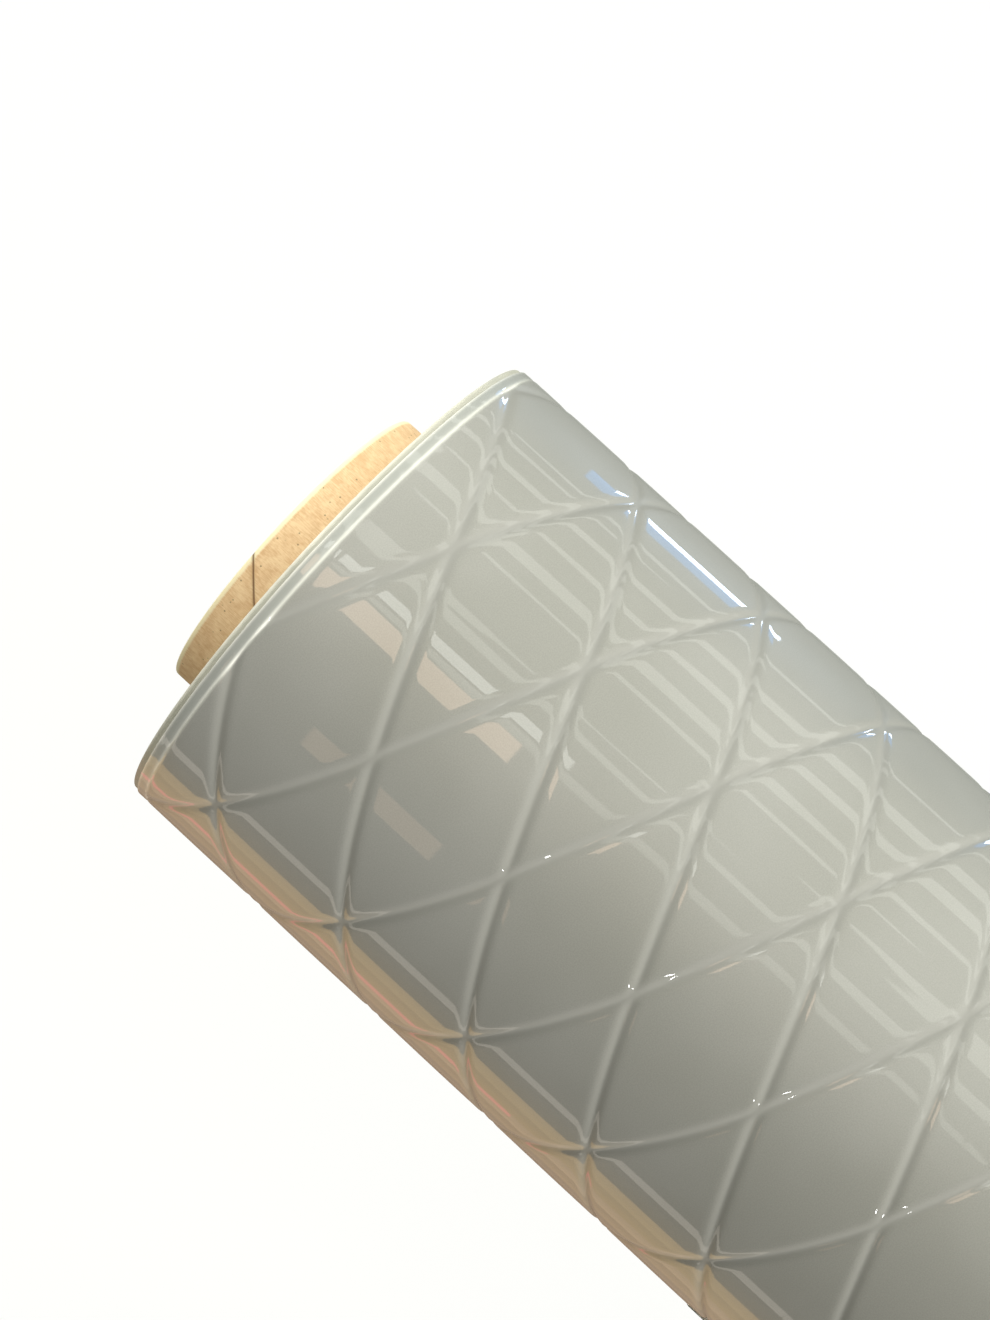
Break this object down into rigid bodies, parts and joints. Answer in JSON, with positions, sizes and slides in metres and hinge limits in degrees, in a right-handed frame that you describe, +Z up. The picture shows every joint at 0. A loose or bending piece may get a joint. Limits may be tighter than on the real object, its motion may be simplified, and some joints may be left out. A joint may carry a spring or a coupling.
{
  "type": "backdrop roll",
  "caption": "Roll of glossy grey PVC sheeting with a recessed diamond weld lattice, wound on a spiral-wound kraft board core; its free end uncurls from the roll.",
  "frame": {"origin": "on the roll's axis, at the mouth of the core's bore at the near end", "axes": "+X along the axis into the roll, +Z up, +Y to the rear, where the free end leaves the roll"},
  "size_m": [1.246, 0.1484, 0.1488],
  "materials": {
    "kraft_liner": "matte",
    "kraft_board": "matte",
    "kraft_surface": "matte",
    "start_tape": "matte",
    "sheet_edges": "satin",
    "pvc_face": "gloss",
    "prism_film": "satin",
    "backing_film": "satin",
    "clear_tape": "gloss"
  },
  "bodies": {
    "roll": {"core_liner_ply": "kraft_liner", "core_body_ply_1": "kraft_board", "core_body_ply_2": "kraft_board", "core_body_ply_3": "kraft_board", "core_body_ply_4": "kraft_board", "core_body_ply_5": "kraft_board", "core_body_ply_6": "kraft_board", "core_surface_ply": "kraft_surface", "start_tape": "start_tape", "wound_sheet": "sheet_edges", "outer_turn_face_film": "pvc_face", "outer_turn_prism_film": "prism_film", "outer_turn_backing_film": "backing_film"},
    "free_end_1": {"free_end_panel_1": "pvc_face"},
    "free_end_2": {"free_end_panel_2": "pvc_face"},
    "free_end_3": {"free_end_panel_3": "pvc_face"},
    "free_end_4": {"free_end_panel_4": "pvc_face"},
    "free_end_5": {"free_end_panel_5": "pvc_face"},
    "free_end_6": {"free_end_panel_6": "pvc_face"},
    "free_end_7": {"free_end_panel_7": "pvc_face", "tape_tab_1": "clear_tape", "tape_tab_2": "clear_tape", "tape_tab_3": "clear_tape"}
  },
  "joints": [
    {"name": "free_end_uncurl_1", "type": "hinge", "parent": "roll", "child": "free_end_1", "pos_m": [0.6247, 0.0744, 0], "axis": [1, 0, 0], "range_deg": [0, 15], "stiffness_Nm_per_rad": 0.2, "springref_deg": -8.59},
    {"name": "free_end_uncurl_2", "type": "hinge", "parent": "free_end_1", "child": "free_end_2", "pos_m": [0.6247, 0.0719, -0.01926], "axis": [1, 0, 0], "range_deg": [0, 15], "stiffness_Nm_per_rad": 0.2, "springref_deg": -8.59},
    {"name": "free_end_uncurl_3", "type": "hinge", "parent": "free_end_2", "child": "free_end_3", "pos_m": [0.6247, 0.06449, -0.03723], "axis": [1, 0, 0], "range_deg": [0, 15], "stiffness_Nm_per_rad": 0.2, "springref_deg": -8.59},
    {"name": "free_end_uncurl_4", "type": "hinge", "parent": "free_end_3", "child": "free_end_4", "pos_m": [0.6247, 0.05268, -0.05268], "axis": [1, 0, 0], "range_deg": [0, 15], "stiffness_Nm_per_rad": 0.2, "springref_deg": -8.59},
    {"name": "free_end_uncurl_5", "type": "hinge", "parent": "free_end_4", "child": "free_end_5", "pos_m": [0.6247, 0.03727, -0.06455], "axis": [1, 0, 0], "range_deg": [0, 15], "stiffness_Nm_per_rad": 0.2, "springref_deg": -8.59},
    {"name": "free_end_uncurl_6", "type": "hinge", "parent": "free_end_5", "child": "free_end_6", "pos_m": [0.6247, 0.0193, -0.07203], "axis": [1, 0, 0], "range_deg": [0, 15], "stiffness_Nm_per_rad": 0.2, "springref_deg": -8.59},
    {"name": "free_end_uncurl_7", "type": "hinge", "parent": "free_end_6", "child": "free_end_7", "pos_m": [0.6247, 0, -0.0746], "axis": [1, 0, 0], "range_deg": [0, 15], "stiffness_Nm_per_rad": 0.2, "springref_deg": -8.59}
  ],
  "couplings": [
    {"joint": "free_end_uncurl_2", "follows": "free_end_uncurl_1", "ratio": 1},
    {"joint": "free_end_uncurl_3", "follows": "free_end_uncurl_1", "ratio": 1},
    {"joint": "free_end_uncurl_4", "follows": "free_end_uncurl_1", "ratio": 1},
    {"joint": "free_end_uncurl_5", "follows": "free_end_uncurl_1", "ratio": 1},
    {"joint": "free_end_uncurl_6", "follows": "free_end_uncurl_1", "ratio": 1},
    {"joint": "free_end_uncurl_7", "follows": "free_end_uncurl_1", "ratio": 1}
  ]
}
